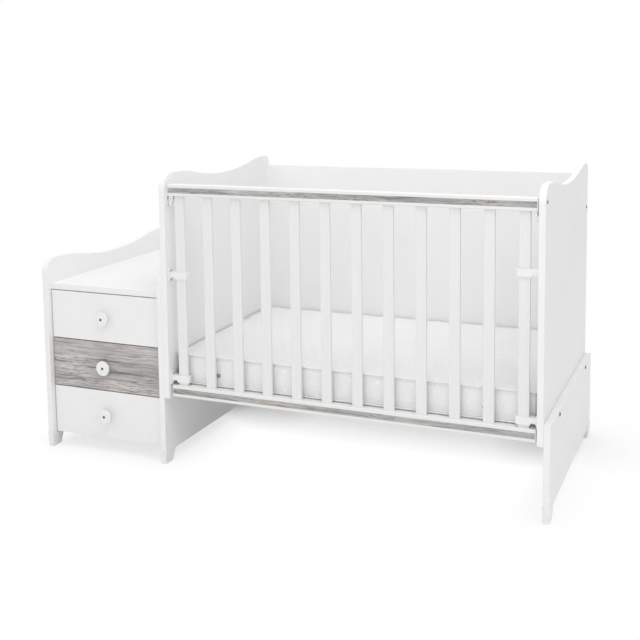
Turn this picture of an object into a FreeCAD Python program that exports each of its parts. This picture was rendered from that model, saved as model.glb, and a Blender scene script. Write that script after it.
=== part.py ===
import FreeCAD, Part
import math
import os
import re
import Sketcher

# Millimetres. X runs along the crib, Y from front to back, Z up from the floor.
# Words ending in "lift" are heights above the floor or above the piece they belong to.
SIZES = {
    # boards and overall sizes
    "board": 18,              # thickness of every laminated board
    "edge_round": 1.5,        # rounding of the edge bands
    "crib_length": 1120,      # clear length between the crib's end panels
    "panel_depth": 736,       # depth of the end and side panels
    "crib_height": 904,       # floor to the hump of the crib's end panels
    "crib_lift": 211,         # floor to the lower edges of the crib's boards
    "cabinet_width": 442,     # outer width of the chest
    "cabinet_height": 617,    # floor to the hump of the chest's sides
    "panel_lift": 35,         # floor to the lower edges of the boards that stand on shoes
    "foot_panel_top": 272,    # floor to the top edge of the foot panel
    "back_inset": 13,         # rear boards to the back edges of the panels
    # wavy top edge of the panels, from the front to the back
    "front_corner": 46,
    "hump_flat": 29,
    "fall_length": 110,       # hump to the turn of the falling curve
    "dip_reach": 380,         # front edge to the lowest point
    "rise_length": 110,       # turn of the rising curve to the crest
    "crest_flat": 6,
    "back_corner": 40,
    "wave_drop": 31,          # hump to dip
    "wave_rise": 29,          # dip to crest
    # chest
    "tray_depth": 81,         # hump to the upper face of the top board
    "guard_rise": 62,         # rear guard above the top board
    "guard_drop": 18,         # rear guard below the top board's underside
    "hardboard": 4,
    "bottom_gap": 1,          # bottom board above the shoes
    # drawers
    "drawer_lift": 47,        # floor to the lowest drawer front
    "drawer_inset": 19,       # drawer fronts behind the panels' front edges
    "drawer_gap": 3,
    "drawer_side_gap": 2,
    "drawer_front": 16,
    "box_lift": 38,           # drawer front's lower edge to the box
    "box_headroom": 15,
    "box_wall": 12,
    "box_depth": 450,
    "box_base": 4,
    "groove_depth": 6,
    "groove_lift": 10,
    "groove_play": 0.2,
    "runner_space": 12.5,     # between the box and the chest's side, at each side
    # runners
    "runner_thickness": 1.5,
    "runner_height": 30,
    "runner_gap": 2,          # drawer front to the fixed runner
    "track_width": 10.5,
    "lip_width": 7,
    "runner_drop": 21,        # box to the foot of the fixed runner
    "slide_thickness": 1.2,
    "slide_height": 19,
    "slide_flange": 9,
    "slide_tab": 28,          # length of the tab that holds the rear roller
    "slide_tab_drop": 17,
    "roller_radius": 8.5,
    "roller_width": 6,
    "roller_stand": 2,        # metal to the roller
    "axle_radius": 2.5,
    "roller_setback": 14,     # runner end to the roller's axle
    "front_roller_lift": 12,
    "rear_roller_lift": 10.5,
    # knobs
    "knob_radius": 23.5,
    "knob_reach": 25,
    "knob_stem": 9,
    "knob_stem_reach": 9,
    "knob_flare_reach": 19.5,
    "knob_rim_round": 1.8,
    "knob_crown": 1.2,        # middle of the face above its rim
    "knob_dimple": 4.5,
    "knob_dimple_depth": 3,
    "knob_screw_radius": 2,
    "knob_screw_head": 3.8,
    "knob_screw_cap": 2.2,
    "knob_screw_grip": 12,    # screw in the drawer front
    # drop side
    "rail_inset": 12,         # behind the panels' front edges
    "rail_depth": 26,
    "rail_height": 36,
    "rail_gap": 4.5,          # rail ends to the end panels
    "rail_round": 3,
    "top_margin": 33,         # hump to the top of the top rail
    "bottom_rail_lift": 4,
    "strip_height": 16.5,
    "strip_depth": 2,
    "strip_margin": 2.5,      # strip ends to the rail ends
    "slat_count": 12,
    "slat_width": 31,
    "slat_depth": 11,
    "slat_round": 2,
    "slat_margin": 24,        # end panel to the first slat
    "mortise": 10,
    # guide clips
    "clip_flange": 3,
    "clip_width": 26,
    "clip_height": 38,
    "clip_round": 4,
    "arm_height": 22,
    "clip_wall": 3,
    "clip_lip": 5,            # wall beyond the slat
    "slat_play": 0.5,
    "arch_width": 15,
    "arch_height": 6,
    "arch_round": 4,
    "bottom_clip_lift": 41,   # panel's lower edge to the clip
    "left_clip_drop": 233,    # keeper to the middle clip
    "right_clip_drop": 154,
    "clip_screw_radius": 1.5,
    "clip_screw_head": 3,
    "clip_screw_cap": 1.6,
    "clip_screw_grip": 12,
    # catches under the top rail
    "bracket_start": 7,       # end panel to the bracket
    "bracket_length": 14,
    "bracket_drop": 14,
    "bracket_wall": 2.5,
    "bracket_plate": 2,
    "pin_drop": 8,
    "pin_radius": 2,
    "pin_play": 0.3,
    "hook_width": 12,
    "hook_play": 0.5,
    "hook_head": 5,
    "hook_length": 29,
    "hook_edge": 7,           # end panel to the hook's near edge
    "hook_shoulder": 12,      # the next five are depths below the rail and reaches from the panel
    "nose_reach": 1.5,
    "nose_top": 15,
    "nose_low": 20,
    "hook_throat": 22,
    "hook_foot": 13,
    "keeper_thickness": 3,
    "keeper_width": 30,
    "keeper_rise": 13,        # above the top rail
    "keeper_slot_play": 1,
    "keeper_slot_rise": 2,    # above the nose
    "keeper_screw_drop": 24,
    "keeper_screw_inset": 8,  # from the keeper's front edge
    "keeper_screw_radius": 2,
    "keeper_screw_head": 4.5,
    "keeper_screw_cap": 1.5,
    # dowels, bolts and screws
    "dowel_radius": 4,
    "dowel_grip": 11,         # dowel in the panel
    "dowel_reach": 19,        # dowel in the board
    "hole_play": 0.15,
    "hole_spare": 1,          # empty end of a blind hole
    "dowel_front": 80,
    "dowel_back_inset": 116,  # to the panels' back edges
    "guard_dowel_inset": 16,
    "low_dowel_lift": 90,
    "high_dowel_lift": 329,
    "bolt_front": 143,
    "bolt_back_inset": 117,
    "bolt_lift": 257,
    "bolt_radius": 3,
    "bolt_head": 5.5,
    "bolt_cap": 2,
    "bolt_reach": 12,         # bolt in the sleeve nut
    "nut_radius": 4.5,
    "nut_head": 7,
    "nut_cap": 2,
    "nut_reach": 16,
    "back_screw_drop": 108,
    "back_screw_radius": 3,
    "back_screw_head": 5,
    "back_screw_cap": 1.5,
    "back_screw_grip": 32,
    # crib floor
    "back_panel_drop": 38,    # hump to the rear wall's top edge
    "cleat_lift": 3,
    "cleat_height": 24,
    "cleat_depth": 20,
    "cleat_gap": 5,
    "base_board": 12,
    "base_gap": 2,
    "base_front": 41,         # panels' front edges to the base and the mattress
    "vent_radius": 15,
    "vent_margin": 130,
    "vent_columns": 6,
    "vent_rows": 3,
    # mattress
    "mattress_gap": 5,        # mattress ends to the end panels
    "mattress_back_gap": 5,
    "mattress_height": 100,
    "mattress_corner": 14,
    "mattress_edge": 8,
    "border_draw": 3,
    "crown": 4,
    "crown_reach": 75,
    "eyelet_start": 145,
    "eyelet_lift": 37,
    "eyelet_radius": 6,
    "eyelet_rim": 1.2,
    "eyelet_barrel": 4,
    "eyelet_bore": 3,
    "eyelet_depth": 8,
    # plastic shoes
    "shoe_wall": 2,
    "shoe_height": 44,
    "shoe_length": 58,
    "shoe_tread": 44,         # length on the floor
    "shoe_taper": 2.5,
    "shoe_round": 3,
}

# Places and lengths that follow from the sizes.
PLACES = {
    "crib_left": "(cabinet_width - crib_length - board) / 2",
    "crib_right": "crib_left + crib_length",
    "crib_middle": "crib_left + crib_length / 2",
    "cabinet_left": "crib_left - cabinet_width",
    "cabinet_right": "crib_left - 2 * board",
    "cabinet_inner": "cabinet_width - 2 * board",
    "cabinet_middle": "cabinet_left + cabinet_inner / 2",
    "front": "(knob_reach - drawer_inset - panel_depth - shoe_wall) / 2",
    "back_reach": "panel_depth - back_inset - board",
    "back_face": "front + back_reach",
    "crest_reach": "panel_depth - back_corner - crest_flat",
    "bolt_back": "panel_depth - bolt_back_inset",
    "dowel_back": "panel_depth - dowel_back_inset",
    "hump_reach": "front_corner + hump_flat",
    "top_underside": "cabinet_height - tray_depth - board",
    "bottom_board_lift": "shoe_height + bottom_gap",
    "drawer_height": "(top_underside - drawer_lift) / 3 - drawer_gap",
    "drawer_width": "cabinet_inner - 2 * drawer_side_gap",
    "drawer_back": "front + drawer_inset + drawer_front",
    "box_width": "cabinet_inner - 2 * runner_space",
    "box_height": "drawer_height - box_lift - box_headroom",
    "box_left": "cabinet_left + runner_space",
    "rail_front": "front + rail_inset",
    "rail_middle": "rail_inset + rail_depth / 2",
    "rail_length": "crib_length - 2 * rail_gap",
    "top_rail": "crib_height - top_margin - rail_height",
    "bottom_rail": "crib_lift + bottom_rail_lift",
    "slat_span": "crib_length - 2 * slat_margin - slat_width",
    "pin_reach": "bracket_start + bracket_length / 2",
    "keeper_low": "top_rail - hook_length",
    "keeper_top": "top_rail + rail_height + keeper_rise",
    "left_clip": "keeper_low - left_clip_drop",
    "right_clip": "keeper_low - right_clip_drop",
    "bottom_clip": "crib_lift + bottom_clip_lift",
    "keeper_screw": "keeper_top - keeper_screw_drop",
    "keeper_screw_reach": "rail_inset + keeper_screw_inset",
    "back_top": "crib_height - back_panel_drop",
    "back_screw": "back_top - back_screw_drop",
    "back_middle": "back_reach + board / 2",
    "base_low": "crib_lift + cleat_lift + cleat_height",
    "mattress_low": "base_low + base_board",
    "mattress_left": "crib_left + mattress_gap",
    "mattress_length": "crib_length - 2 * mattress_gap",
    "mattress_front": "front + base_front",
    "mattress_depth": "back_face - mattress_back_gap - mattress_front",
    "stretcher_middle": "base_front + board / 2",
    "cleat_middle": "crib_lift + cleat_lift + cleat_height / 2",
    "ear_middle": "(clip_height - arm_height) / 4",
    "arm_lift": "(clip_height - arm_height) / 2",
}

TURN_BACK = FreeCAD.Rotation(FreeCAD.Vector(0, 0, 1), 180)
TO_FRONT = FreeCAD.Rotation(FreeCAD.Vector(0, 0, 1), -90)
TO_BACK = FreeCAD.Rotation(FreeCAD.Vector(0, 0, 1), 90)
TURNS = {
    "x": FreeCAD.Rotation(FreeCAD.Vector(0, 1, 0), 90),
    "y": FreeCAD.Rotation(FreeCAD.Vector(1, 0, 0), -90),
    "z": FreeCAD.Rotation(),
}

doc = FreeCAD.newDocument("ConvertibleCrib")
sheet = doc.addObject("Spreadsheet::Sheet", "Sizes")
for row, (name, number) in enumerate(SIZES.items(), 1):
    sheet.set(f"A{row}", name)
    sheet.set(f"B{row}", str(number))
    sheet.setAlias(f"B{row}", name)
doc.recompute()

nodes = []


def formula(text):
    """Spell a formula out in cells of the sheet."""
    def spell(found):
        word = found.group()
        if word in PLACES:
            return "(" + formula(PLACES[word]) + ")"
        return "Sizes." + word
    return re.sub(r"[a-z_]+", spell, text)


def value(text):
    """Give the number that a formula stands for."""
    return float(sheet.evalExpression(formula(text)))


def bind(thing, **formulas):
    """Tie properties of an object to formulas."""
    for name, text in formulas.items():
        thing.setExpression(name, formula(text))


def place(thing, x="0", y="0", z="0", turn=None):
    """Turn an object, then tie its place to three formulas."""
    if turn:
        thing.Placement = FreeCAD.Placement(FreeCAD.Vector(), turn)
    for axis, text in zip("xyz", (x, y, z)):
        thing.setExpression(f"Placement.Base.{axis}", formula(text))
    return thing


def node(thing):
    """Count an object among the pieces that are written out."""
    nodes.append(thing)
    return thing


def box(label, size, at):
    block = doc.addObject("Part::Box", label)
    bind(block, Length=size[0], Width=size[1], Height=size[2])
    return place(block, *at)


def rod(label, radius, length, at, axis):
    bar = doc.addObject("Part::Cylinder", label)
    bind(bar, Radius=radius, Height=length)
    return place(bar, *at, turn=TURNS[axis])


def cut(label, base, tools):
    """Take several tools away from a base."""
    tool = doc.addObject("Part::Compound", label + "_tools")
    tool.Links = tools
    result = doc.addObject("Part::Cut", label)
    result.Base = base
    result.Tool = tool
    return result


def group(label, members):
    bundle = doc.addObject("Part::Compound", label)
    bundle.Links = members
    return bundle


def mirrored(label, source, middle):
    """Reflect a piece to the other side of an upright plane across the length."""
    twin = doc.addObject("Part::Mirroring", label)
    twin.Source = source
    twin.Normal = FreeCAD.Vector(1, 0, 0)
    twin.setExpression("Base.x", formula(middle))
    return twin


def link(label, master, *spot):
    """Place a linked copy of a master; a spot is x, y, z and an optional turn."""
    copy = doc.addObject("App::Link", label)
    copy.LinkedObject = master
    return place(copy, *spot)


def copies(label, master, spots):
    """Group linked copies of one master."""
    return group(label, [link(f"{label}_copy_{count}", master, *spot) for count, spot in enumerate(spots, 1)])


def body_of(label):
    return doc.addObject("PartDesign::Body", label)


def origin_feature(body, role):
    return next(item for item in body.Origin.OriginFeatures if item.Role == role)


def sketch_on(body, role):
    sketch = body.newObject("Sketcher::SketchObject", body.Label + "_sketch")
    sketch.AttachmentSupport = [(origin_feature(body, role), "")]
    sketch.MapMode = "FlatFace"
    return sketch


def hold(sketch, kind, geometry, point, text):
    """Hold a point at a distance from the sketch's origin."""
    rule = Sketcher.Constraint(kind, -1, 1, geometry, point, value(text))
    sketch.setExpression(f"Constraints[{sketch.addConstraint(rule)}]", formula(text))


def hold_radius(sketch, geometry, text):
    rule = Sketcher.Constraint("Radius", geometry, value(text))
    sketch.setExpression(f"Constraints[{sketch.addConstraint(rule)}]", formula(text))


def outline(sketch, corners):
    """Draw a closed outline of lines with every corner held by two formulas."""
    points = [FreeCAD.Vector(value(x), value(y), 0) for x, y in corners]
    first = sketch.GeometryCount
    for start, end in zip(points, points[1:] + points[:1]):
        sketch.addGeometry(Part.LineSegment(start, end), False)
    for index, (x, y) in enumerate(corners):
        following = first + (index + 1) % len(corners)
        sketch.addConstraint(Sketcher.Constraint("Coincident", first + index, 2, following, 1))
        hold(sketch, "DistanceX", first + index, 1, x)
        hold(sketch, "DistanceY", first + index, 1, y)


def rectangle(sketch, left, low, right, high):
    outline(sketch, [(left, low), (right, low), (right, high), (left, high)])


def rounded(sketch, left, low, right, high, radius):
    """Draw a rectangle with round corners, held by its four sides and one radius."""
    west, south, east, north, bend = (value(text) for text in (left, low, right, high, radius))
    quarter = math.pi / 2
    sides = [
        ((west + bend, south), (east - bend, south), (east - bend, south + bend)),
        ((east, south + bend), (east, north - bend), (east - bend, north - bend)),
        ((east - bend, north), (west + bend, north), (west + bend, north - bend)),
        ((west, north - bend), (west, south + bend), (west + bend, south + bend)),
    ]
    first = sketch.GeometryCount
    for index, (start, end, centre) in enumerate(sides):
        begin, finish, middle = (FreeCAD.Vector(*point, 0) for point in (start, end, centre))
        sketch.addGeometry(Part.LineSegment(begin, finish), False)
        circle = Part.Circle(middle, FreeCAD.Vector(0, 0, 1), bend)
        sketch.addGeometry(Part.ArcOfCircle(circle, (index - 1) * quarter, index * quarter), False)
    count = 2 * len(sides)
    for index in range(count):
        following = first + (index + 1) % count
        sketch.addConstraint(Sketcher.Constraint("Tangent", first + index, 2, following, 1))
    for index, direction in enumerate(("Horizontal", "Vertical", "Horizontal", "Vertical")):
        sketch.addConstraint(Sketcher.Constraint(direction, first + 2 * index))
    for index in (3, 5, 7):
        sketch.addConstraint(Sketcher.Constraint("Equal", first + 1, first + index))
    hold_radius(sketch, first + 1, radius)
    hold(sketch, "DistanceY", first, 1, low)
    hold(sketch, "DistanceX", first + 2, 1, right)
    hold(sketch, "DistanceY", first + 4, 1, high)
    hold(sketch, "DistanceX", first + 6, 1, left)


def pad(body, sketch, length, backward=False):
    feature = body.newObject("PartDesign::Pad", body.Label + "_pad")
    feature.Profile = sketch
    feature.Reversed = backward
    bind(feature, Length=length)
    body.Tip = feature
    return feature


def pocket(body, sketch, length, backward=False, both=False):
    feature = body.newObject("PartDesign::Pocket", body.Label + "_pocket")
    feature.Profile = sketch
    feature.Reversed = backward
    feature.Midplane = both
    bind(feature, Length=length)
    body.Tip = feature
    return feature


def drill(body, role, spots, radius, depth, backward=False, both=False):
    """Sink round holes of one size from a plane of the body."""
    sketch = sketch_on(body, role)
    for across, up in spots:
        centre = FreeCAD.Vector(value(across), value(up), 0)
        hole = sketch.addGeometry(Part.Circle(centre, FreeCAD.Vector(0, 0, 1), value(radius)), False)
        hold(sketch, "DistanceX", hole, 3, across)
        hold(sketch, "DistanceY", hole, 3, up)
        hold_radius(sketch, hole, radius)
    return pocket(body, sketch, depth, backward, both)


def row_of(body, feature, role, length, count):
    """Repeat a feature evenly along an axis of the body."""
    pattern = body.newObject("PartDesign::LinearPattern", body.Label + "_row")
    pattern.Originals = [feature]
    pattern.Direction = (origin_feature(body, role), [""])
    bind(pattern, Length=length, Occurrences=count)
    body.Tip = pattern
    return pattern


def round_edges(body, feature, radius, wanted):
    """Round the edges of a feature that a test picks out."""
    doc.recompute()
    names = [f"Edge{index}" for index, edge in enumerate(feature.Shape.Edges, 1) if wanted(edge)]
    fillet = body.newObject("PartDesign::Fillet", body.Label + "_round")
    fillet.Base = (feature, names)
    bind(fillet, Radius=radius)
    body.Tip = fillet
    return fillet


def runs_along(edge, axis):
    """Tell whether an edge is straight and parallel to an axis."""
    step = edge.Vertexes[-1].Point - edge.Vertexes[0].Point
    return isinstance(edge.Curve, Part.Line) and abs(step[axis]) > 0.99 * step.Length


def upper_rim(edge, low):
    """Tell whether an edge of an upright panel goes round its front, top and back."""
    at_foot = all(abs(corner.Point.z - low) < 0.01 for corner in edge.Vertexes)
    return not at_foot and not runs_along(edge, 0)


def on_ring(edge, radius):
    """Tell whether an edge is a circle of one radius."""
    return isinstance(edge.Curve, Part.Circle) and abs(edge.Curve.Radius - radius) < 0.01


def turned(label, corners):
    """Turn an outline of (reach, radius) points about the X axis."""
    body = body_of(label)
    sketch = sketch_on(body, "XZ_Plane")
    outline(sketch, corners)
    feature = body.newObject("PartDesign::Revolution", label + "_turn")
    feature.Profile = sketch
    feature.ReferenceAxis = (sketch, ["H_Axis"])
    feature.Angle = 360
    body.Tip = feature
    return body


def cross_recess(body, foot, head, cap, backward=False):
    """Sink a cross into a screw head of one radius and thickness, from its foot plane outward."""
    sketch = sketch_on(body, "YZ_Plane")
    sketch.AttachmentOffset = FreeCAD.Placement()
    sketch.setExpression("AttachmentOffset.Base.z", formula(foot))
    arm, half = f"2 * {head} / 3", f"{head} / 8"
    outline(sketch, [
        (half, half), (arm, half), (arm, f"-{half}"), (half, f"-{half}"),
        (half, f"-{arm}"), (f"-{half}", f"-{arm}"), (f"-{half}", f"-{half}"), (f"-{arm}", f"-{half}"),
        (f"-{arm}", half), (f"-{half}", half), (f"-{half}", arm), (half, arm),
    ])
    pocket(body, sketch, cap, backward)
    return body


def arc_about(centre, radius, start, end):
    circle = Part.Circle(FreeCAD.Vector(*centre, 0), FreeCAD.Vector(0, 0, 1), radius)
    return Part.ArcOfCircle(circle, start, end)


def wave_outline(sketch, low, top):
    """Draw the panel with its wavy top edge: hump, dip and crest joined by tangent arcs."""
    dip = f"{top} - wave_drop"
    crest = f"{dip} + wave_rise"
    depth, base, high, valley, peak = (value(text) for text in ("panel_depth", low, top, dip, crest))
    bend, rear_bend = value("front_corner"), value("back_corner")
    hump_y, dip_y, crest_y = (value(text) for text in ("hump_reach", "dip_reach", "crest_reach"))
    fall = 2 * math.atan((high - valley) / (dip_y - hump_y))
    rise = 2 * math.atan((peak - valley) / (crest_y - dip_y))
    first_fall = value("fall_length") / math.sin(fall)
    last_fall = (dip_y - hump_y - value("fall_length")) / math.sin(fall)
    last_rise = value("rise_length") / math.sin(rise)
    first_rise = (crest_y - dip_y - value("rise_length")) / math.sin(rise)
    up, down = math.pi / 2, 3 * math.pi / 2

    def line(start, end):
        return Part.LineSegment(FreeCAD.Vector(*start, 0), FreeCAD.Vector(*end, 0))

    # each piece with the numbers of the ends at which the outline enters and leaves it
    pieces = [
        (line((0, base), (0, high - bend)), 1, 2),
        (arc_about((bend, high - bend), bend, up, math.pi), 2, 1),
        (line((bend, high), (hump_y, high)), 1, 2),
        (arc_about((hump_y, high - first_fall), first_fall, up - fall, up), 2, 1),
        (arc_about((dip_y, valley + last_fall), last_fall, down - fall, down), 1, 2),
        (arc_about((dip_y, valley + first_rise), first_rise, down, down + rise), 1, 2),
        (arc_about((crest_y, peak - last_rise), last_rise, up, up + rise), 2, 1),
        (line((crest_y, peak), (depth - rear_bend, peak)), 1, 2),
        (arc_about((depth - rear_bend, peak - rear_bend), rear_bend, 0, up), 2, 1),
        (line((depth, peak - rear_bend), (depth, base)), 1, 2),
        (line((depth, base), (0, base)), 1, 2),
    ]
    for shape, _, _ in pieces:
        sketch.addGeometry(shape, False)
    for index, (_, _, leave) in enumerate(pieces):
        following = (index + 1) % len(pieces)
        kind = "Coincident" if index >= len(pieces) - 2 else "Tangent"
        sketch.addConstraint(Sketcher.Constraint(kind, index, leave, following, pieces[following][1]))
    for direction, lines in (("Vertical", (0, 9)), ("Horizontal", (2, 7, 10))):
        for index in lines:
            sketch.addConstraint(Sketcher.Constraint(direction, index))
    sketch.addConstraint(Sketcher.Constraint("Vertical", 4, 3, 4, 2))
    hold(sketch, "DistanceX", 0, 1, "0")
    hold(sketch, "DistanceY", 0, 1, low)
    hold(sketch, "DistanceX", 9, 2, "panel_depth")
    hold(sketch, "DistanceY", 2, 1, top)
    hold_radius(sketch, 1, "front_corner")
    hold_radius(sketch, 8, "back_corner")
    hold(sketch, "DistanceX", 2, 2, "hump_reach")
    hold(sketch, "DistanceX", 4, 2, "dip_reach")
    hold(sketch, "DistanceY", 4, 2, dip)
    hold(sketch, "DistanceX", 7, 1, "crest_reach")
    hold(sketch, "DistanceY", 7, 1, crest)
    hold(sketch, "DistanceX", 4, 1, "hump_reach + fall_length")
    hold(sketch, "DistanceX", 5, 2, "crest_reach - rise_length")


def wave_panel(label, x, low, top, outward, through, blind):
    """Make an upright panel from its inner face, with holes sunk from that face."""
    body = body_of(label)
    sketch = sketch_on(body, "YZ_Plane")
    wave_outline(sketch, low, top)
    slab = pad(body, sketch, "board", backward=outward < 0)
    round_edges(body, slab, "edge_round", lambda edge: upper_rim(edge, value(low)))
    for spots, radius in through:
        drill(body, "YZ_Plane", spots, radius, "board", backward=outward > 0)
    for spots, radius, depth in blind:
        drill(body, "YZ_Plane", spots, radius, depth, backward=outward > 0)
    return node(place(body, x, "front", "0"))


def end_holes(label, spots, unit, radius, grip):
    """Make tools for holes in both ends of a board of the crib or the chest."""
    length = f"{grip} + hole_spare"
    tools = []
    for count, (y, z) in enumerate(spots):
        for end, x in (("left", f"{unit}_left"), ("right", f"{unit}_right - {grip} - hole_spare")):
            tools.append(rod(f"{label}_{end}_hole_{count}", f"{radius} + hole_play", length,
                             (x, f"front + {y}", z), "x"))
    return tools


def dowelled(label, unit, spots, size, at):
    """Make a board between two panels with dowel holes in its ends."""
    holes = end_holes(label, spots, unit, "dowel_radius", "dowel_reach")
    return cut(label, box(label + "_blank", size, at), holes)


BOLT_SPOTS = [("bolt_front", "bolt_lift"), ("bolt_back", "bolt_lift")]
TOP_DOWELS = [(y, "top_underside + board / 2") for y in ("dowel_front", "dowel_back")]
BOTTOM_DOWELS = [(y, "bottom_board_lift + board / 2") for y in ("dowel_front", "dowel_back")]
GUARD_DOWELS = [
    ("back_middle", "top_underside - guard_drop + guard_dowel_inset"),
    ("back_middle", "top_underside + board + guard_rise - guard_dowel_inset"),
]
BACK_DOWELS = [("back_middle", f"crib_lift + {lift}") for lift in ("low_dowel_lift", "high_dowel_lift")]
BACK_SCREWS = [("back_middle", "back_screw")]
STRETCHER_DOWELS = [("stretcher_middle", "cleat_middle")]
CLIPS = {"left": ("left_clip", "bottom_clip"), "right": ("right_clip", "bottom_clip")}
DOWEL_HOLE = ("dowel_radius + hole_play", "dowel_grip + hole_spare")


def ears(low):
    """Give the screw heights of a clip from its lower edge."""
    return [f"{low} + ear_middle", f"{low} + clip_height - ear_middle"]


# Panels with the wavy top edge.
cabinet_dowel_spots = TOP_DOWELS + BOTTOM_DOWELS + GUARD_DOWELS
wave_panel("cabinet_side_left", "cabinet_left", "panel_lift", "cabinet_height", -1,
           [], [(cabinet_dowel_spots, *DOWEL_HOLE)])
wave_panel("cabinet_side_right", "cabinet_right", "panel_lift", "cabinet_height", 1,
           [(BOLT_SPOTS, "bolt_radius + hole_play")], [(cabinet_dowel_spots, *DOWEL_HOLE)])
for side, x, outward in (("left", "crib_left", -1), ("right", "crib_right", 1)):
    pilots = [("rail_middle", z) for low in CLIPS[side] for z in ears(low)]
    wave_panel(f"end_panel_{side}", x, "crib_lift", "crib_height", outward, [
        (BOLT_SPOTS, "nut_radius + hole_play"),
        ([("keeper_screw_reach", "keeper_screw")], "keeper_screw_radius + hole_play"),
        (BACK_SCREWS, "back_screw_radius + hole_play"),
    ], [
        (BACK_DOWELS + STRETCHER_DOWELS, *DOWEL_HOLE),
        (pilots, "clip_screw_radius + hole_play", "clip_screw_grip + hole_spare"),
    ])

foot_panel = body_of("foot_panel")
foot_sketch = sketch_on(foot_panel, "YZ_Plane")
rectangle(foot_sketch, "0", "panel_lift", "panel_depth", "foot_panel_top")
foot_slab = pad(foot_panel, foot_sketch, "board")
round_edges(foot_panel, foot_slab, "edge_round", lambda edge: upper_rim(edge, value("panel_lift")))
drill(foot_panel, "YZ_Plane", BOLT_SPOTS, "bolt_radius + hole_play", "board", backward=True)
node(place(foot_panel, "crib_right + board", "front", "0"))

# Boards of the chest between its sides.
runner_front = "drawer_back + runner_gap"
node(dowelled("cabinet_top_board", "cabinet", TOP_DOWELS,
              ("cabinet_inner", "back_reach - drawer_inset", "board"),
              ("cabinet_left", "front + drawer_inset", "top_underside")))
node(dowelled("cabinet_back_guard", "cabinet", GUARD_DOWELS,
              ("cabinet_inner", "board", "guard_drop + board + guard_rise"),
              ("cabinet_left", "back_face", "top_underside - guard_drop")))
node(dowelled("cabinet_bottom_board", "cabinet", BOTTOM_DOWELS,
              ("cabinet_inner", f"back_face - ({runner_front})", "board"),
              ("cabinet_left", runner_front, "bottom_board_lift")))
node(box("cabinet_back_panel",
         ("cabinet_inner", "hardboard", "top_underside - guard_drop - bottom_board_lift"),
         ("cabinet_left", "back_face", "bottom_board_lift")))

# Rear wall and floor of the crib.
back_blank = dowelled("crib_back_dowelled", "crib", BACK_DOWELS,
                      ("crib_length", "board", "back_top - crib_lift"),
                      ("crib_left", "back_face", "crib_lift"))
node(cut("crib_back_panel", back_blank,
         end_holes("crib_back_panel", BACK_SCREWS, "crib", "back_screw_radius", "back_screw_grip")))
node(dowelled("front_stretcher", "crib", STRETCHER_DOWELS, ("crib_length", "board", "cleat_height"),
              ("crib_left", "mattress_front", "crib_lift + cleat_lift")))
cleat_start = "mattress_front + board + cleat_gap"
cleat_length = f"back_face - cleat_depth - cleat_gap - ({cleat_start})"
end_cleat = box("end_cleat", ("cleat_depth", cleat_length, "cleat_height"),
                ("crib_left", cleat_start, "crib_lift + cleat_lift"))
rear_cleat = box("rear_cleat",
                 ("crib_length - 2 * (cleat_depth + cleat_gap)", "cleat_depth", "cleat_height"),
                 ("crib_left + cleat_depth + cleat_gap", "back_face - cleat_depth", "crib_lift + cleat_lift"))
node(group("base_cleats", [end_cleat, mirrored("end_cleat_twin", end_cleat, "crib_middle"), rear_cleat]))

base = body_of("mattress_base")
base_sketch = sketch_on(base, "XY_Plane")
base_length, base_depth = "crib_length - 2 * base_gap", "back_reach - base_gap - base_front"
rectangle(base_sketch, "0", "0", base_length, base_depth)
pad(base, base_sketch, "base_board")
columns, rows = SIZES["vent_columns"], SIZES["vent_rows"]
vents = []
for column in range(columns):
    for line in range(rows):
        vents.append((f"vent_margin + {column} * ({base_length} - 2 * vent_margin) / (vent_columns - 1)",
                      f"vent_margin + {line} * ({base_depth} - 2 * vent_margin) / (vent_rows - 1)"))
drill(base, "XY_Plane", vents, "vent_radius", "base_board", backward=True)
node(place(base, "crib_left + base_gap", "mattress_front", "base_low"))

# Mattress: sections that swell at the two seams, draw in at the border and rise to the crown.
MATTRESS_SECTIONS = [
    ("0", "mattress_edge / 2"),
    ("mattress_edge / 2", "0"),
    ("1.5 * mattress_edge", "border_draw"),
    ("mattress_height / 2", "border_draw / 3"),
    ("mattress_height - crown - 1.5 * mattress_edge", "border_draw"),
    ("mattress_height - crown - mattress_edge / 2", "0"),
    ("mattress_height - crown", "mattress_edge / 2"),
    ("mattress_height - crown / 3", "crown_reach"),
    ("mattress_height", "3 * crown_reach"),
]
sections = []
for count, (lift, inset) in enumerate(MATTRESS_SECTIONS):
    section = doc.addObject("Sketcher::SketchObject", f"mattress_section_{count}")
    rounded(section, inset, inset, f"mattress_length - {inset}", f"mattress_depth - {inset}",
            "mattress_corner")
    sections.append(place(section, "mattress_left", "mattress_front", f"mattress_low + {lift}"))
filling = doc.addObject("Part::Loft", "mattress_filling")
filling.Sections = sections
filling.Solid = True
filling.Ruled = True
eyelet_spots = [
    (x, "mattress_front + border_draw / 3 - eyelet_rim", "mattress_low + eyelet_lift")
    for x in ("mattress_left + eyelet_start", "mattress_left + mattress_length - eyelet_start")
]
eyelet_holes = [
    rod(f"eyelet_hole_{count}", "eyelet_barrel + hole_play", "eyelet_depth + eyelet_rim + hole_spare",
        spot, "y")
    for count, spot in enumerate(eyelet_spots)
]
node(cut("mattress", filling, eyelet_holes))
eyelet = turned("eyelet_master", [
    ("0", "eyelet_bore"), ("eyelet_rim + eyelet_depth", "eyelet_bore"),
    ("eyelet_rim + eyelet_depth", "eyelet_barrel"), ("eyelet_rim", "eyelet_barrel"),
    ("eyelet_rim", "eyelet_radius"), ("0", "eyelet_radius"),
])
node(copies("mattress_eyelets", eyelet, [(*spot, TO_BACK) for spot in eyelet_spots]))

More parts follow.
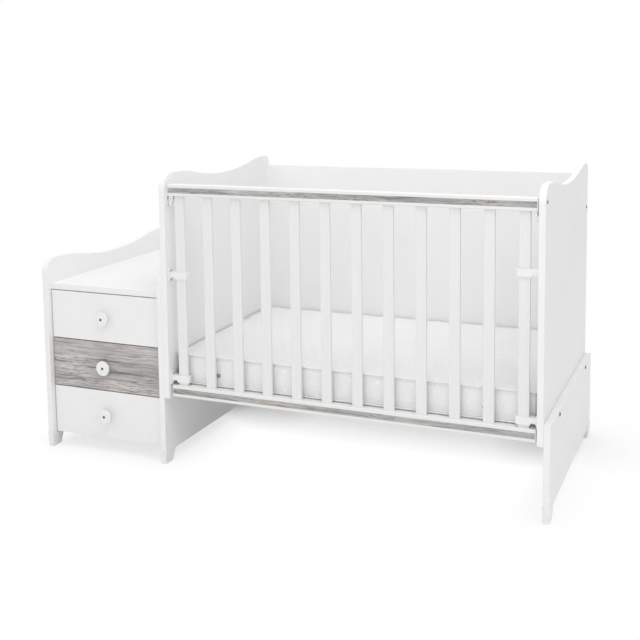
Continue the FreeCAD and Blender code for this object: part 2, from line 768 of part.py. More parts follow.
# Dowels of the chest and of the crib.
dowel = turned("dowel_master", [
    ("0", "0"), ("dowel_grip + dowel_reach", "0"),
    ("dowel_grip + dowel_reach", "dowel_radius"), ("0", "dowel_radius"),
])
for label, left, right, spots in (
    ("cabinet_dowels", "cabinet_left", "cabinet_right", cabinet_dowel_spots),
    ("crib_dowels", "crib_left", "crib_right", BACK_DOWELS + STRETCHER_DOWELS),
):
    places = []
    for y, z in spots:
        places.append((f"{left} - dowel_grip", f"front + {y}", z))
        places.append((f"{right} + dowel_grip", f"front + {y}", z, TURN_BACK))
    node(copies(label, dowel, places))

# Bolts and sleeve nuts, measured from the plane in which two panels meet.
bolt = turned("bolt_master", [
    ("-board - bolt_cap", "0"), ("bolt_reach", "0"), ("bolt_reach", "bolt_radius"),
    ("-board", "bolt_radius"), ("-board", "bolt_head"), ("-board - bolt_cap", "bolt_head"),
])
cross_recess(bolt, "-board - bolt_cap / 3", "bolt_head", "bolt_cap")
nut = turned("nut_master", [
    ("board - nut_reach", "bolt_radius + hole_play"), ("board + nut_cap", "bolt_radius + hole_play"),
    ("board + nut_cap", "nut_head"), ("board", "nut_head"),
    ("board", "nut_radius"), ("board - nut_reach", "nut_radius"),
])
meeting = []
for y, z in BOLT_SPOTS:
    meeting.append(("crib_left - board", f"front + {y}", z))
    meeting.append(("crib_right + board", f"front + {y}", z, TURN_BACK))
node(copies("panel_bolts", bolt, meeting))
node(copies("panel_nuts", nut, meeting))


def screw(label, head, cap, radius, length):
    """Turn a screw that points along +X from the underside of its head."""
    body = turned(label, [
        (f"-{cap}", "0"), (length, "0"), (length, radius), ("0", radius), ("0", head), (f"-{cap}", head),
    ])
    return cross_recess(body, f"-{cap} / 3", head, cap)


back_screw = screw("back_screw_master", "back_screw_head", "back_screw_cap", "back_screw_radius",
                   "board + back_screw_grip")
keeper_screw = screw("keeper_screw_master", "keeper_screw_head", "keeper_screw_cap", "keeper_screw_radius",
                     "board + keeper_thickness - hole_spare")
for label, master, y, z in (("back_panel_screws", back_screw, "back_middle", "back_screw"),
                            ("keeper_screws", keeper_screw, "keeper_screw_reach", "keeper_screw")):
    node(copies(label, master, [
        ("crib_left - board", f"front + {y}", z),
        ("crib_right + board", f"front + {y}", z, TURN_BACK),
    ]))


def clip():
    """Make the eye that an outermost slat slides through, from the left panel's face."""
    body = body_of("clip_master")
    flange = sketch_on(body, "YZ_Plane")
    rounded(flange, "-clip_width / 2", "0", "clip_width / 2", "clip_height", "clip_round")
    pad(body, flange, "clip_flange")
    arm = sketch_on(body, "XY_Plane")
    arm.AttachmentOffset = FreeCAD.Placement()
    arm.setExpression("AttachmentOffset.Base.z", formula("arm_lift"))
    half = "(slat_depth / 2 + slat_play)"
    end = "slat_margin + slat_width + slat_play"
    rounded(arm, "0", f"-{half} - clip_wall", f"{end} + clip_lip", f"{half} + clip_wall", "clip_wall")
    rectangle(arm, "slat_margin - slat_play", f"-{half}", end, half)
    pad(body, arm, "arm_height")
    arch = sketch_on(body, "XZ_Plane")
    middle = "(clip_flange + slat_margin - slat_play) / 2"
    rounded(arch, f"{middle} - arch_width / 2", "arm_lift - arch_height",
            f"{middle} + arch_width / 2", "arm_lift + arch_height", "arch_round")
    pocket(body, arch, "2 * clip_width", both=True)
    drill(body, "YZ_Plane", [("0", "ear_middle"), ("0", "clip_height - ear_middle")],
          "clip_screw_radius + hole_play", "clip_flange", backward=True)
    return body


clip_left = clip()
clip_right = mirrored("clip_master_twin", clip_left, "0")
clip_y = "front + rail_middle"
for count, label in enumerate(("guide_clips_mid", "guide_clips_bottom")):
    node(group(label, [
        link(f"{label}_left", clip_left, "crib_left", clip_y, CLIPS["left"][count]),
        link(f"{label}_right", clip_right, "crib_right", clip_y, CLIPS["right"][count]),
    ]))
clip_screw = screw("clip_screw_master", "clip_screw_head", "clip_screw_cap", "clip_screw_radius",
                   "clip_flange + clip_screw_grip")
clip_screw_spots = []
for low in CLIPS["left"]:
    clip_screw_spots += [("crib_left + clip_flange", clip_y, z, TURN_BACK) for z in ears(low)]
for low in CLIPS["right"]:
    clip_screw_spots += [("crib_right - clip_flange", clip_y, z) for z in ears(low)]
node(copies("clip_screws", clip_screw, clip_screw_spots))


# Drop side: rails with let-in strips and mortises, and the slats between them.
def rail(label, mortise_face, upward):
    """Make a rail; its body starts in the face that takes the slats."""
    body = body_of(label)
    section = sketch_on(body, "YZ_Plane")
    low, high = ("0", "rail_height") if upward else ("-rail_height", "0")
    rectangle(section, "0", low, "rail_depth", high)
    block = pad(body, section, "rail_length")
    depth, height = value("rail_depth"), (value(low), value(high))

    def long_corner(edge):
        point = edge.Vertexes[0].Point
        at_face = min(abs(point.y), abs(point.y - depth)) < 0.01
        at_edge = min(abs(point.z - limit) for limit in height) < 0.01
        return runs_along(edge, 0) and at_face and at_edge

    round_edges(body, block, "rail_round", long_corner)
    groove = sketch_on(body, "XZ_Plane")
    strip_low = f"{low} + (rail_height - strip_height) / 2"
    rectangle(groove, "strip_margin", strip_low, "rail_length - strip_margin", f"{strip_low} + strip_height")
    pocket(body, groove, "strip_depth")
    slot = sketch_on(body, "XY_Plane")
    start = "slat_margin - rail_gap"
    rectangle(slot, start, "(rail_depth - slat_depth) / 2",
              f"{start} + slat_width", "(rail_depth + slat_depth) / 2")
    row_of(body, pocket(body, slot, "mortise", backward=upward), "X_Axis", "slat_span", "slat_count")
    return node(place(body, "crib_left + rail_gap", "rail_front", mortise_face))


rail("drop_top_rail", "top_rail", True)
rail("drop_bottom_rail", "bottom_rail + rail_height", False)
for label, lift in (("drop_top_strip", "top_rail"), ("drop_bottom_strip", "bottom_rail")):
    node(box(label, ("rail_length - 2 * strip_margin", "strip_depth", "strip_height"),
             ("crib_left + rail_gap + strip_margin", "rail_front",
              f"{lift} + (rail_height - strip_height) / 2")))

slats = body_of("drop_slats")
slat_section = sketch_on(slats, "XY_Plane")
rounded(slat_section, "0", "-slat_depth / 2", "slat_width", "slat_depth / 2", "slat_round")
slat_length = "top_rail - bottom_rail - rail_height + 2 * mortise"
row_of(slats, pad(slats, slat_section, slat_length), "X_Axis", "slat_span", "slat_count")
node(place(slats, "crib_left + slat_margin", clip_y, "bottom_rail + rail_height - mortise"))

# Catches: bracket, pin and sprung hook under each end of the top rail, keeper on the panel.
bracket = body_of("bracket_left")
bracket_sketch = sketch_on(bracket, "YZ_Plane")
cheek_in, cheek_out = "(hook_width / 2 + hook_play)", "(hook_width / 2 + hook_play + bracket_wall)"
outline(bracket_sketch, [
    (f"-{cheek_out}", "0"), (f"-{cheek_out}", "-bracket_drop"), (f"-{cheek_in}", "-bracket_drop"),
    (f"-{cheek_in}", "-bracket_plate"), (cheek_in, "-bracket_plate"), (cheek_in, "-bracket_drop"),
    (cheek_out, "-bracket_drop"), (cheek_out, "0"),
])
pad(bracket, bracket_sketch, "bracket_length")
drill(bracket, "XZ_Plane", [("bracket_length / 2", "-pin_drop")], "pin_radius + hole_play",
      "4 * hook_width", both=True)
place(bracket, "crib_left + bracket_start", clip_y, "top_rail")
node(group("catch_brackets", [bracket, mirrored("bracket_right", bracket, "crib_middle")]))
pin_left = rod("pin_left", "pin_radius", f"2 * {cheek_out}",
               ("crib_left + pin_reach", f"{clip_y} - {cheek_out}", "top_rail - pin_drop"), "y")
node(group("catch_pins", [pin_left, mirrored("pin_right", pin_left, "crib_middle")]))

hook = body_of("catch_hook_left")
hook_sketch = sketch_on(hook, "XZ_Plane")
outline(hook_sketch, [
    ("pin_reach + hook_head", "-pin_drop"), ("pin_reach - hook_head", "-pin_drop"),
    ("hook_edge", "-hook_shoulder"), ("nose_reach", "-nose_top"), ("nose_reach", "-nose_low"),
    ("hook_edge", "-hook_throat"), ("hook_edge", "-hook_length"), ("hook_foot", "-hook_length"),
])
hook_pad = pad(hook, hook_sketch, "hook_width")
hook_pad.Midplane = True
head = sketch_on(hook, "XZ_Plane")
head_ring = head.addGeometry(Part.Circle(FreeCAD.Vector(value("pin_reach"), -value("pin_drop"), 0),
                                         FreeCAD.Vector(0, 0, 1), value("hook_head")), False)
hold(head, "DistanceX", head_ring, 3, "pin_reach")
hold(head, "DistanceY", head_ring, 3, "-pin_drop")
hold_radius(head, head_ring, "hook_head")
head_pad = pad(hook, head, "hook_width")
head_pad.Midplane = True
drill(hook, "XZ_Plane", [("pin_reach", "-pin_drop")], "pin_radius + pin_play", "2 * hook_width", both=True)
node(place(hook, "crib_left", clip_y, "top_rail"))
node(mirrored("catch_hook_right", hook, "crib_middle"))

keeper = body_of("keeper_left")
keeper_sketch = sketch_on(keeper, "YZ_Plane")
slot_half = "(hook_width / 2 + keeper_slot_play)"
slot_top = "top_rail - nose_top + keeper_slot_rise"
keeper_end = "rail_inset + keeper_width"
outline(keeper_sketch, [
    ("rail_inset", "keeper_low"), (f"rail_middle - {slot_half}", "keeper_low"),
    (f"rail_middle - {slot_half}", slot_top), (f"rail_middle + {slot_half}", slot_top),
    (f"rail_middle + {slot_half}", "keeper_low"), (keeper_end, "keeper_low"),
    (keeper_end, "keeper_top"), ("rail_inset", "keeper_top"),
])
pad(keeper, keeper_sketch, "keeper_thickness")
drill(keeper, "YZ_Plane", [("keeper_screw_reach", "keeper_screw")], "keeper_screw_radius + hole_play",
      "keeper_thickness", backward=True)
place(keeper, "crib_left", "front", "0")
node(group("catch_keepers", [keeper, mirrored("keeper_right", keeper, "crib_middle")]))

# Runners: fixed halves in the chest, then one drawer after another.
roller = turned("roller_master", [
    ("0", "0"), ("roller_stand + roller_width", "0"), ("roller_stand + roller_width", "roller_radius"),
    ("roller_stand", "roller_radius"), ("roller_stand", "axle_radius"), ("0", "axle_radius"),
])
runner = body_of("runner_master")
runner_sketch = sketch_on(runner, "XZ_Plane")
outline(runner_sketch, [
    ("0", "0"), ("track_width", "0"), ("track_width", "runner_thickness"),
    ("runner_thickness", "runner_thickness"), ("runner_thickness", "runner_height - runner_thickness"),
    ("lip_width", "runner_height - runner_thickness"), ("lip_width", "runner_height"), ("0", "runner_height"),
])
pad(runner, runner_sketch, "box_depth", backward=True)
DRAWERS = (1, 2, 3)
drawer_low = {count: f"(top_underside - {count} * (drawer_gap + drawer_height))" for count in DRAWERS}
runner_spots = []
roller_spots = []
for count in DRAWERS:
    foot = f"{drawer_low[count]} + box_lift - runner_drop"
    axle_y, axle_z = f"{runner_front} + roller_setback", f"{foot} + front_roller_lift"
    runner_spots.append(("cabinet_left", runner_front, foot))
    runner_spots.append(("cabinet_right", f"{runner_front} + box_depth", foot, TURN_BACK))
    roller_spots.append(("cabinet_left + runner_thickness", axle_y, axle_z))
    roller_spots.append(("cabinet_right - runner_thickness", axle_y, axle_z, TURN_BACK))
node(copies("cabinet_runners", runner, runner_spots))
node(copies("cabinet_rollers", roller, roller_spots))

slide = body_of("slide_master")
slide_sketch = sketch_on(slide, "XZ_Plane")
outline(slide_sketch, [
    ("0", "0"), ("0", "slide_height"), ("-slide_thickness", "slide_height"),
    ("-slide_thickness", "slide_thickness"), ("-slide_flange", "slide_thickness"), ("-slide_flange", "0"),
])
pad(slide, slide_sketch, "box_depth", backward=True)
tab = sketch_on(slide, "YZ_Plane")
rectangle(tab, "box_depth - slide_tab", "-slide_tab_drop", "box_depth", "slide_thickness")
pad(slide, tab, "slide_thickness", backward=True)
slide_twin = mirrored("slide_master_twin", slide, "box_width / 2")

box_side = body_of("box_side_master")
side_sketch = sketch_on(box_side, "XZ_Plane")
outline(side_sketch, [
    ("0", "0"), ("box_wall", "0"), ("box_wall", "groove_lift"), ("box_wall - groove_depth", "groove_lift"),
    ("box_wall - groove_depth", "groove_lift + box_base"), ("box_wall", "groove_lift + box_base"),
    ("box_wall", "box_height"), ("0", "box_height"),
])
pad(box_side, side_sketch, "box_depth", backward=True)
box_side_twin = mirrored("box_side_twin", box_side, "box_width / 2")
box_back = box("box_back_master",
               ("box_width - 2 * box_wall", "box_wall", "box_height - groove_lift - box_base"),
               ("0", "0", "0"))


def drawer(count):
    """Make one drawer with its front, box, knob and the moving halves of its runners."""
    name = f"drawer_{count}"
    low = drawer_low[count]
    box_low = f"{low} + box_lift"
    face = body_of(f"{name}_front")
    sketch = sketch_on(face, "XZ_Plane")
    rectangle(sketch, "0", "0", "drawer_width", "drawer_height")
    slab = pad(face, sketch, "drawer_front")
    reach = -value("drawer_front")
    round_edges(face, slab, "edge_round",
                lambda edge: all(abs(corner.Point.y - reach) < 0.01 for corner in edge.Vertexes))
    drill(face, "XZ_Plane", [("drawer_width / 2", "drawer_height / 2")], "knob_screw_radius + hole_play",
          "drawer_front", backward=True)
    node(place(face, "cabinet_left + drawer_side_gap", "drawer_back", low))
    node(group(f"{name}_box", [
        link(f"{name}_left_wall", box_side, "box_left", "drawer_back", box_low),
        link(f"{name}_right_wall", box_side_twin, "box_left", "drawer_back", box_low),
        link(f"{name}_rear_wall", box_back, "box_left + box_wall", "drawer_back + box_depth - box_wall",
             f"{box_low} + groove_lift + box_base"),
    ]))
    inset = "(box_wall - groove_depth + groove_play)"
    node(box(f"{name}_bottom", (f"box_width - 2 * {inset}", "box_depth", "box_base"),
             (f"box_left + {inset}", "drawer_back", f"{box_low} + groove_lift")))
    middle = ("cabinet_middle", "front + drawer_inset", f"{low} + drawer_height / 2")
    hole = "knob_screw_radius + hole_play"
    seat = "knob_reach - knob_dimple_depth"
    knob = turned(f"{name}_knob", [
        ("0", hole), ("0", "knob_stem"), ("knob_stem_reach", "knob_stem"),
        ("knob_flare_reach", "knob_radius"), ("knob_reach - knob_crown", "knob_radius"),
        ("knob_reach", "knob_dimple"), (seat, "knob_dimple"), (seat, hole),
    ])
    round_edges(knob, knob.Tip, "knob_rim_round", lambda edge: on_ring(edge, value("knob_radius")))
    node(place(knob, *middle, turn=TO_FRONT))
    pin = turned(f"{name}_knob_screw", [
        ("-knob_screw_grip", "0"), (f"{seat} + knob_screw_cap", "0"),
        (f"{seat} + knob_screw_cap", "knob_screw_head"), (seat, "knob_screw_head"),
        (seat, "knob_screw_radius"), ("-knob_screw_grip", "knob_screw_radius"),
    ])
    cross_recess(pin, f"{seat} + knob_screw_cap / 3", "knob_screw_head", "knob_screw_cap", backward=True)
    node(place(pin, *middle, turn=TO_FRONT))
    node(group(f"{name}_runners", [
        link(f"{name}_left_slide", slide, "box_left", "drawer_back", box_low),
        link(f"{name}_right_slide", slide_twin, "box_left", "drawer_back", box_low),
    ]))
    axle = ("drawer_back + box_depth - roller_setback", f"{box_low} - runner_drop + rear_roller_lift")
    node(copies(f"{name}_rollers", roller, [
        ("box_left - slide_thickness", *axle, TURN_BACK),
        ("box_left + box_width + slide_thickness", *axle),
    ]))


for count in DRAWERS:
    drawer(count)

# Plastic shoes over the lower corners of the boards that stand on the floor.
shoe = body_of("shoe_master")
levels = []
for lift, taper, start, end in (("0", "shoe_taper", "0", "shoe_tread"),
                                ("shoe_height", "0", "-shoe_wall", "shoe_length")):
    level = sketch_on(shoe, "XY_Plane")
    level.AttachmentOffset = FreeCAD.Placement()
    level.setExpression("AttachmentOffset.Base.z", formula(lift))
    rounded(level, f"{taper} - shoe_wall", start, f"board + shoe_wall - {taper}", end, "shoe_round")
    levels.append(level)
shoe_loft = shoe.newObject("PartDesign::AdditiveLoft", "shoe_loft")
shoe_loft.Profile = levels[0]
shoe_loft.Sections = levels[1:]
shoe.Tip = shoe_loft
cup = sketch_on(shoe, "XY_Plane")
cup.AttachmentOffset = FreeCAD.Placement()
cup.setExpression("AttachmentOffset.Base.z", formula("shoe_height"))
rectangle(cup, "0", "0", "board", "shoe_length + shoe_wall")
pocket(shoe, cup, "shoe_height - panel_lift")
for label, panels in (("cabinet_feet", ("cabinet_left - board", "cabinet_right")),
                      ("foot_panel_feet", ("crib_right + board",))):
    spots = []
    for x in panels:
        spots.append((x, "front", "0"))
        spots.append((f"{x} + board", "front + panel_depth", "0", TURN_BACK))
    node(copies(label, shoe, spots))

doc.recompute()
for thing in doc.Objects:
    if "Invalid" in thing.State or "Error" in thing.State:
        raise RuntimeError(f"{thing.Label} did not compute: {thing.State}")
os.makedirs("parts", exist_ok=True)
for thing in nodes:
    shape = thing.Shape
    if shape.isNull() or not shape.isValid() or not shape.Solids:
        raise RuntimeError(f"{thing.Label} has no sound solid")
    shape.exportStep(f"parts/{thing.Label}.step")
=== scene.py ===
import math

import bmesh
import bpy
from mathutils import Matrix, Vector, noise


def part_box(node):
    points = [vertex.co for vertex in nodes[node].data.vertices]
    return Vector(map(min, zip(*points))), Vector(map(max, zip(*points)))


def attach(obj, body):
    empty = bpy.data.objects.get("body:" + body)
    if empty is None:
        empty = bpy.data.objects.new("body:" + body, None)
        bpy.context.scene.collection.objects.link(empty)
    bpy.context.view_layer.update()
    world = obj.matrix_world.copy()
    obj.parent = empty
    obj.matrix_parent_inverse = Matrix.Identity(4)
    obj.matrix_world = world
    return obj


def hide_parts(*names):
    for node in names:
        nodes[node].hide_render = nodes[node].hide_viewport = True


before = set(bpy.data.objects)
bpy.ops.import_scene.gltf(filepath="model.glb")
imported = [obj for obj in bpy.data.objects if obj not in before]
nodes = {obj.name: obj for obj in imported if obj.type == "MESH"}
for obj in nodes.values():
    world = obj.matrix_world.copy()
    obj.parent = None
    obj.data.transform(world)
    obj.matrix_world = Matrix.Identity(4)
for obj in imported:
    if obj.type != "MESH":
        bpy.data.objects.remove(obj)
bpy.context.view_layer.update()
scene = bpy.context.scene


# Materials

class Look:
    """A node material in the making."""

    MIX_FACTOR, MIX_FIRST, MIX_SECOND, MIX_RESULT = 0, 6, 7, 2    # colour sockets of a Mix node

    def __init__(self, name, **sockets):
        self.material = bpy.data.materials.new(name)
        self.material.use_nodes = True
        self.tree = self.material.node_tree
        self.shader = self.tree.nodes["Principled BSDF"]
        for key, setting in sockets.items():
            self.shader.inputs[key.replace("_", " ")].default_value = setting
        self.place = self.add("ShaderNodeTexCoord").outputs["Object"]

    def add(self, kind, **inputs):
        """Add a node; each input is a number, a colour or another node's output."""
        made = self.tree.nodes.new(kind)
        for key, given in inputs.items():
            self.feed(made.inputs[key.replace("_", " ")], given)
        return made

    def feed(self, socket, given):
        """Link a socket to another node's output, or set it to a number or colour."""
        if isinstance(given, bpy.types.NodeSocket):
            self.tree.links.new(given, socket)
        else:
            socket.default_value = given

    def stretch(self, x, y, z):
        """Scale the object's coordinates along each axis."""
        return self.add("ShaderNodeMapping", Vector=self.place, Scale=(x, y, z)).outputs["Vector"]

    def noise(self, vector, scale, detail=4.0, roughness=0.55, distortion=0.0):
        """Give a noise factor."""
        made = self.add("ShaderNodeTexNoise", Vector=vector, Scale=scale, Detail=detail,
                        Roughness=roughness, Distortion=distortion)
        return made.outputs["Fac"]

    def cells(self, vector, scale):
        """Give the distance to the nearest of scattered points."""
        return self.add("ShaderNodeTexVoronoi", Vector=vector, Scale=scale).outputs["Distance"]

    def waves(self, vector, scale, direction, distortion):
        """Give soft stripes across one axis."""
        made = self.add("ShaderNodeTexWave", Vector=vector, Scale=scale, Distortion=distortion)
        made.bands_direction = direction
        return made.outputs["Fac"]

    def warp(self, vector, scale, reach):
        """Push coordinates about by a soft noise, up to a reach along each axis."""
        soft = self.add("ShaderNodeTexNoise", Vector=vector, Scale=scale, Detail=2.0, Roughness=0.5)
        moved = self.tree.nodes.new("ShaderNodeVectorMath")
        moved.operation = "MULTIPLY_ADD"
        self.tree.links.new(soft.outputs["Color"], moved.inputs[0])
        moved.inputs[1].default_value = reach
        self.tree.links.new(vector, moved.inputs[2])
        return moved.outputs["Vector"]

    def span(self, fac, low, high, start=0.0, end=1.0):
        """Map a factor from one range to another."""
        made = self.add("ShaderNodeMapRange", Value=fac)
        for key, number in (("From Min", start), ("From Max", end), ("To Min", low), ("To Max", high)):
            made.inputs[key].default_value = number
        return made.outputs["Result"]

    def math(self, operation, first, second):
        """Join two factors by an operation."""
        made = self.tree.nodes.new("ShaderNodeMath")
        made.operation = operation
        self.feed(made.inputs[0], first)
        self.feed(made.inputs[1], second)
        return made.outputs["Value"]

    def edge(self, radius):
        """Rise from 0 on flat faces to 1 on sharp edges."""
        flat, sharp = 0.995, 0.88    # how far the rounded normal agrees with the true one
        bent = self.add("ShaderNodeBevel", Radius=radius)
        bent.samples = 4
        straight = self.add("ShaderNodeNewGeometry")
        made = self.tree.nodes.new("ShaderNodeVectorMath")
        made.operation = "DOT_PRODUCT"
        self.tree.links.new(bent.outputs["Normal"], made.inputs[0])
        self.tree.links.new(straight.outputs["True Normal"], made.inputs[1])
        return self.span(made.outputs["Value"], 0.0, 1.0, flat, sharp)

    def ramp(self, fac, *stops):
        """Turn a factor into colours; a stop is a place and a colour."""
        made = self.add("ShaderNodeValToRGB", Fac=fac)
        elements = made.color_ramp.elements
        while len(elements) < len(stops):
            elements.new(1.0)
        for element, (spot, colour) in zip(elements, stops):
            element.position = spot
            element.color = (*colour, 1.0)
        return made.outputs["Color"]

    def blend(self, fac, first, second, kind):
        """Mix two colours."""
        made = self.tree.nodes.new("ShaderNodeMix")
        made.data_type = "RGBA"
        made.blend_type = kind
        self.feed(made.inputs[self.MIX_FACTOR], fac)
        self.feed(made.inputs[self.MIX_FIRST], first)
        self.feed(made.inputs[self.MIX_SECOND], second)
        return made.outputs[self.MIX_RESULT]

    def colour(self, given):
        """Set the base colour."""
        self.feed(self.shader.inputs["Base Color"], given)

    def rough(self, given):
        """Set the roughness."""
        self.feed(self.shader.inputs["Roughness"], given)

    def bump(self, height, strength, distance):
        """Raise the surface by a height factor."""
        made = self.add("ShaderNodeBump", Height=height, Strength=strength, Distance=distance)
        self.tree.links.new(made.outputs["Normal"], self.shader.inputs["Normal"])


def grey(level, warm=0.0):
    """Give a near-neutral colour of one level."""
    return (level * (1.0 + warm), level, level * (1.0 - warm))


def laminate():
    """White melamine on board: faintly pebbled, with a slow drift of tone and rubbed edges."""
    edge_band = 0.0022
    look = Look("white_laminate", Specular_IOR_Level=0.35)
    drift = look.noise(look.place, 2.6, 3.0)
    pebble = look.noise(look.place, 620.0, 2.0, 0.5)
    tone = look.ramp(drift, (0.3, grey(0.825, 0.002)), (0.7, grey(0.850, 0.002)))
    specks = look.ramp(pebble, (0.35, grey(0.985)), (0.6, grey(1.0)))
    wear = look.span(look.noise(look.place, 34.0, 5.0, 0.7), 0.25, 1.0, 0.4, 0.7)
    rubs = look.math("MULTIPLY", look.edge(edge_band), wear)
    band = look.ramp(rubs, (0.0, grey(1.0)), (1.0, grey(0.90, 0.004)))
    speckled = look.blend(1.0, tone, specks, "MULTIPLY")
    look.colour(look.blend(1.0, speckled, band, "MULTIPLY"))
    look.rough(look.span(look.noise(look.place, 45.0, 3.0), 0.36, 0.50, 0.3, 0.7))
    look.bump(pebble, 0.10, 0.0004)
    return look.material


def lacquer(name, x, y, z):
    """White paint over wood: the grain shows as faint long ripples."""
    look = Look(name, Specular_IOR_Level=0.45, Coat_Weight=0.12, Coat_Roughness=0.25)
    fibre = look.noise(look.stretch(x, y, z), 1.0, 5.0, 0.6, 0.3)
    peel = look.noise(look.place, 260.0, 2.0)
    look.colour(look.ramp(fibre, (0.3, grey(0.75, 0.003)), (0.7, grey(0.78, 0.002))))
    look.rough(look.span(peel, 0.30, 0.44, 0.3, 0.7))
    look.bump(look.math("ADD", look.math("MULTIPLY", fibre, 0.6), peel), 0.10, 0.0005)
    return look.material


def weathered(name, seed, fine, depth):
    """Grey weathered wood decor: cool and warm clouds, wavy lines, short dashes and fine grain along X."""
    look = Look(name, Specular_IOR_Level=0.25)
    shifted = look.add("ShaderNodeMapping", Vector=look.place, Location=(seed, seed * 0.7, seed * 1.3))
    bent = look.warp(shifted.outputs["Vector"], 6.0 * fine, (0.03 / fine, 0.016 / fine, 0.018 / fine))

    def along(x, z):
        """Stretch the bent coordinates, by x along the grain and by z across it."""
        stretched = look.add("ShaderNodeMapping", Vector=bent, Scale=(x * fine, z * fine, z * fine))
        return stretched.outputs["Vector"]

    cloud = look.noise(along(6.0, 22.0), 1.0, 4.0, 0.6, 0.4)
    cast = look.noise(along(3.5, 11.0), 1.0, 2.0, 0.5)
    line = look.noise(along(4.0, 150.0), 1.0, 5.0, 0.65, 0.8)
    patch = look.span(look.noise(along(4.0, 15.0), 1.0, 2.0, 0.5), 0.12, 1.0, 0.42, 0.58)
    dash = look.noise(along(36.0, 230.0), 1.0, 3.0, 0.6, 0.4)
    hair = look.noise(along(30.0, 480.0), 1.0, 3.0, 0.6, 0.3)
    tints = ((0.30, (0.395, 0.377, 0.367)), (0.50, (0.495, 0.477, 0.467)),
             (0.70, (0.590, 0.574, 0.564)))
    base = look.ramp(cloud, *((spot, [depth * part for part in tint]) for spot, tint in tints))
    casts = look.ramp(cast, (0.36, (0.985, 1.0, 1.016)), (0.50, grey(1.0)), (0.64, (1.02, 0.998, 0.98)))
    lines = look.ramp(line, (0.36, (0.46, 0.437, 0.42)), (0.45, (0.87, 0.862, 0.855)), (0.60, grey(1.09)))
    dashes = look.ramp(dash, (0.34, (0.50, 0.483, 0.47)), (0.44, (0.92, 0.915, 0.91)), (0.58, grey(1.08)))
    hairs = look.ramp(hair, (0.32, (0.84, 0.835, 0.83)), (0.50, grey(0.99)), (0.70, grey(1.04)))
    tone = look.blend(1.0, base, casts, "MULTIPLY")
    for reach, layer in ((1.0, lines), (patch, dashes), (1.0, hairs)):
        tone = look.blend(reach, tone, layer, "MULTIPLY")
    look.colour(tone)
    look.rough(look.span(hair, 0.66, 0.50, 0.3, 0.65))
    look.bump(look.math("ADD", dash, look.math("MULTIPLY", hair, 0.6)), 0.20, 0.0006)
    return look.material


def hardboard():
    """Hardboard under thin white paint: pressed shreds show through as faint warm marks."""
    look = Look("hardboard", Specular_IOR_Level=0.3)
    shreds = look.noise(look.place, 240.0, 6.0, 0.7, 1.5)
    clouds = look.noise(look.place, 18.0, 4.0)
    tone = look.ramp(shreds, (0.3, (0.66, 0.635, 0.59)), (0.5, (0.725, 0.71, 0.675)),
                     (0.75, (0.745, 0.73, 0.70)))
    patches = look.ramp(clouds, (0.3, grey(0.95)), (0.7, grey(1.0)))
    look.colour(look.blend(1.0, tone, patches, "MULTIPLY"))
    look.rough(look.span(shreds, 0.42, 0.6, 0.3, 0.7))
    look.bump(shreds, 0.15, 0.0003)
    return look.material


def beech():
    """Turned beech with short darker flecks."""
    look = Look("beech", Specular_IOR_Level=0.3)
    grain = look.noise(look.stretch(20.0, 400.0, 400.0), 1.0, 4.0, 0.6)
    flecks = look.cells(look.stretch(160.0, 900.0, 900.0), 1.0)
    tone = look.ramp(grain, (0.3, (0.52, 0.33, 0.19)), (0.7, (0.68, 0.47, 0.29)))
    spots = look.ramp(flecks, (0.08, (0.72, 0.66, 0.6)), (0.2, grey(1.0)))
    look.colour(look.blend(0.7, tone, spots, "MULTIPLY"))
    look.rough(look.span(grain, 0.45, 0.6, 0.3, 0.7))
    look.bump(grain, 0.2, 0.0003)
    return look.material


def plastic(name, tone, low, high, gloss):
    """Moulded plastic with a fine spark texture and uneven gloss."""
    look = Look(name, Specular_IOR_Level=0.5, Coat_Weight=gloss, Coat_Roughness=0.18)
    spark = look.noise(look.place, 1500.0, 2.0)
    flow = look.noise(look.place, 24.0, 3.0, 0.5, 0.8)
    look.colour(look.ramp(flow, (0.3, grey(tone * 0.97, 0.002)), (0.7, grey(tone, 0.002))))
    look.rough(look.span(flow, low, high, 0.3, 0.7))
    look.bump(spark, 0.06, 0.0002)
    return look.material


def powder_coat():
    """White powder coat on the runners, rubbed grey where the rollers run."""
    look = Look("coated_steel", Specular_IOR_Level=0.5)
    peel = look.noise(look.place, 700.0, 3.0)
    rub = look.noise(look.stretch(900.0, 12.0, 500.0), 1.0, 4.0, 0.6)
    look.colour(look.ramp(rub, (0.30, (0.56, 0.555, 0.54)), (0.42, (0.77, 0.765, 0.75)),
                          (0.75, (0.80, 0.797, 0.785))))
    look.rough(look.span(peel, 0.28, 0.45, 0.3, 0.7))
    look.bump(peel, 0.12, 0.0003)
    return look.material


def steel(name, tone, low, high):
    """Plated steel with turning marks and small rubs."""
    look = Look(name, Metallic=1.0)
    marks = look.noise(look.stretch(600.0, 2400.0, 2400.0), 1.0, 4.0, 0.6)
    rubs = look.noise(look.place, 380.0, 4.0)
    look.colour(look.ramp(rubs, (0.35, grey(tone * 0.7, 0.02)), (0.65, grey(tone, 0.02))))
    look.rough(look.span(marks, low, high, 0.3, 0.7))
    look.bump(marks, 0.08, 0.0001)
    return look.material


